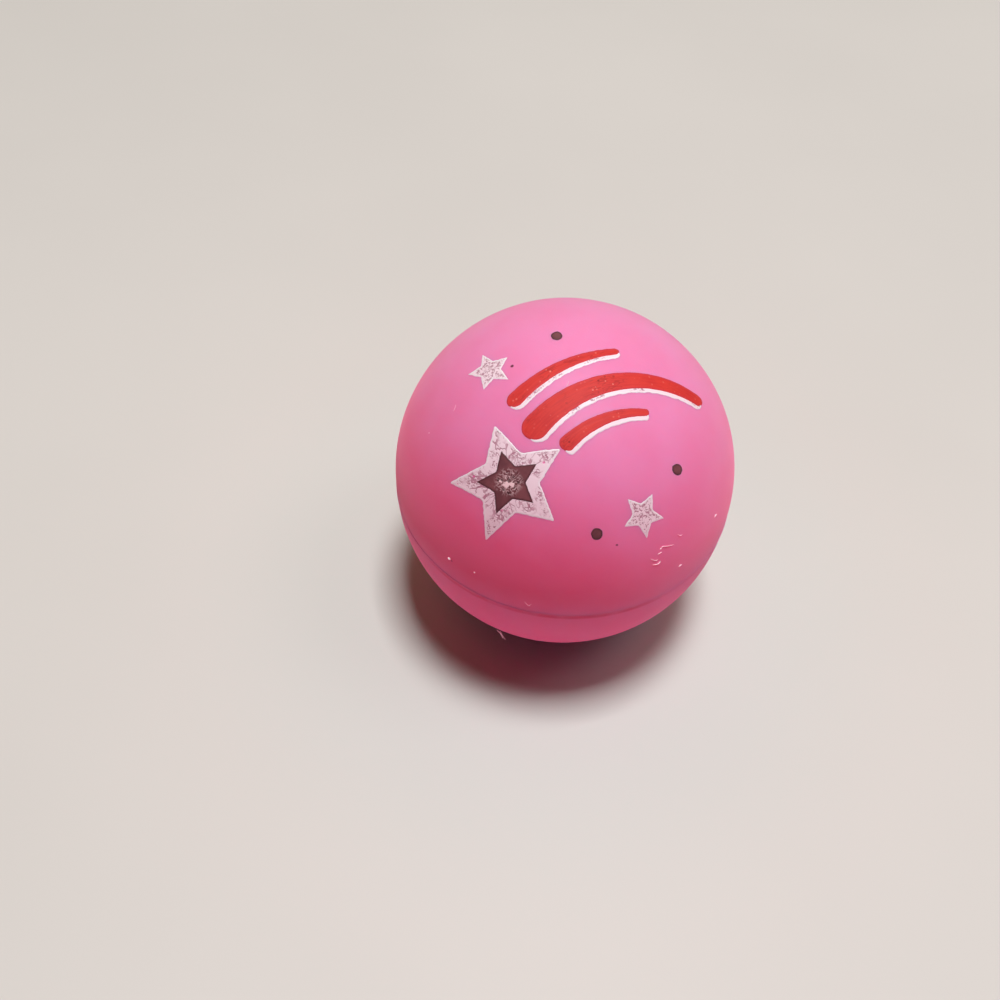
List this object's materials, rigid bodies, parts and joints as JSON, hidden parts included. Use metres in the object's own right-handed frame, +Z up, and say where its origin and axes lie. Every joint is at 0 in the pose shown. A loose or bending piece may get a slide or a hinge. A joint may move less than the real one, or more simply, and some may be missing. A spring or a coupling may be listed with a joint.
{
  "type": "bouncy ball",
  "caption": "Solid moulded rubber ball for bouncing and catching, with a raised parting line round its middle and a printed shooting star on its upper half.",
  "frame": {"origin": "centre of the ball, midway between its poles on the axis square to the parting line", "axes": "+Z up through the upper pole, square to the parting line; the print faces -Y and up"},
  "size_m": [0.0322, 0.0322, 0.0333],
  "materials": {
    "pink_rubber": "satin moulded rubber",
    "white_ink": "pad-printed ink with fine cracks",
    "red_ink": "pad-printed ink with fine specks",
    "black_ink": "pad-printed ink, worn in its middle"
  },
  "bodies": {
    "root": {"upper_half": "pink_rubber", "lower_half": "pink_rubber", "parting_flash": "pink_rubber", "white_star": "white_ink", "white_streak_base": "white_ink", "white_small_stars": "white_ink", "red_streaks": "red_ink", "black_star": "black_ink", "black_dots": "black_ink"}
  },
  "joints": []
}
